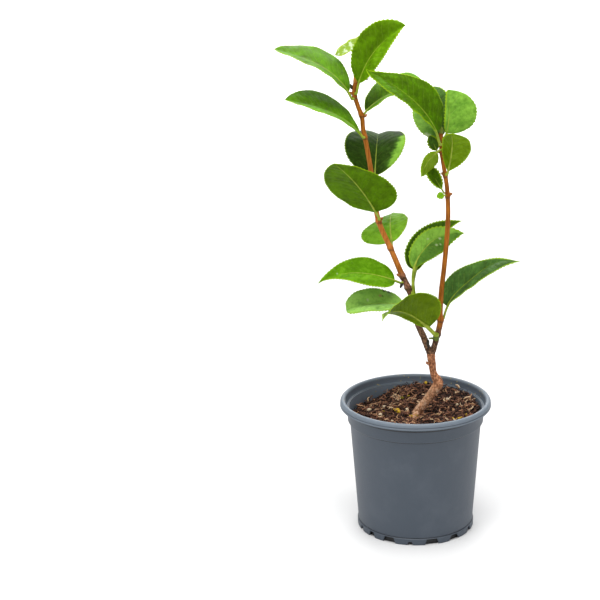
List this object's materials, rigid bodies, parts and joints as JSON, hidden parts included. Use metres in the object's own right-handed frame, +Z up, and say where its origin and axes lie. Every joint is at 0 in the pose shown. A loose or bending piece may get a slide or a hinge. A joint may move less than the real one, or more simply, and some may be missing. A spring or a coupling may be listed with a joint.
{
  "type": "potted camellia",
  "caption": "Young camellia with glossy serrated leaves on thin upright stems that fork from a kinked woody trunk, in a round plastic nursery pot filled with soil.",
  "frame": {"origin": "middle of the pot's underside, on the surface that the pot stands on", "axes": "+Z up, along the pot's axis, +Y to the back and +X to the right of the view the plant is usually shown from"},
  "size_m": [0.1862, 0.1227, 0.4052],
  "materials": {
    "pot": "semi-matte moulded plastic",
    "soil": "crumbly peat and bark",
    "bark": "flaky bark",
    "shoot": "smooth young bark",
    "leaf": "glossy upper side, matt underside"
  },
  "bodies": {
    "root": {"pot": "pot", "soil": "soil", "trunk": "bark", "left_stem": "shoot", "right_stem": "shoot", "left_leaf_01": "leaf", "left_leaf_02": "leaf", "left_leaf_03": "leaf", "left_leaf_04": "leaf", "left_leaf_05": "leaf", "left_leaf_06": "leaf", "left_leaf_07": "leaf", "left_leaf_08": "leaf", "left_leaf_09": "leaf", "left_leaf_10": "leaf", "left_leaf_11": "leaf", "left_leaf_12": "leaf", "right_leaf_01": "leaf", "right_leaf_02": "leaf", "right_leaf_03": "leaf", "right_leaf_04": "leaf", "right_leaf_05": "leaf", "right_leaf_06": "leaf", "right_leaf_07": "leaf", "right_leaf_08": "leaf", "right_leaf_09": "leaf", "right_leaf_10": "leaf"}
  },
  "joints": []
}
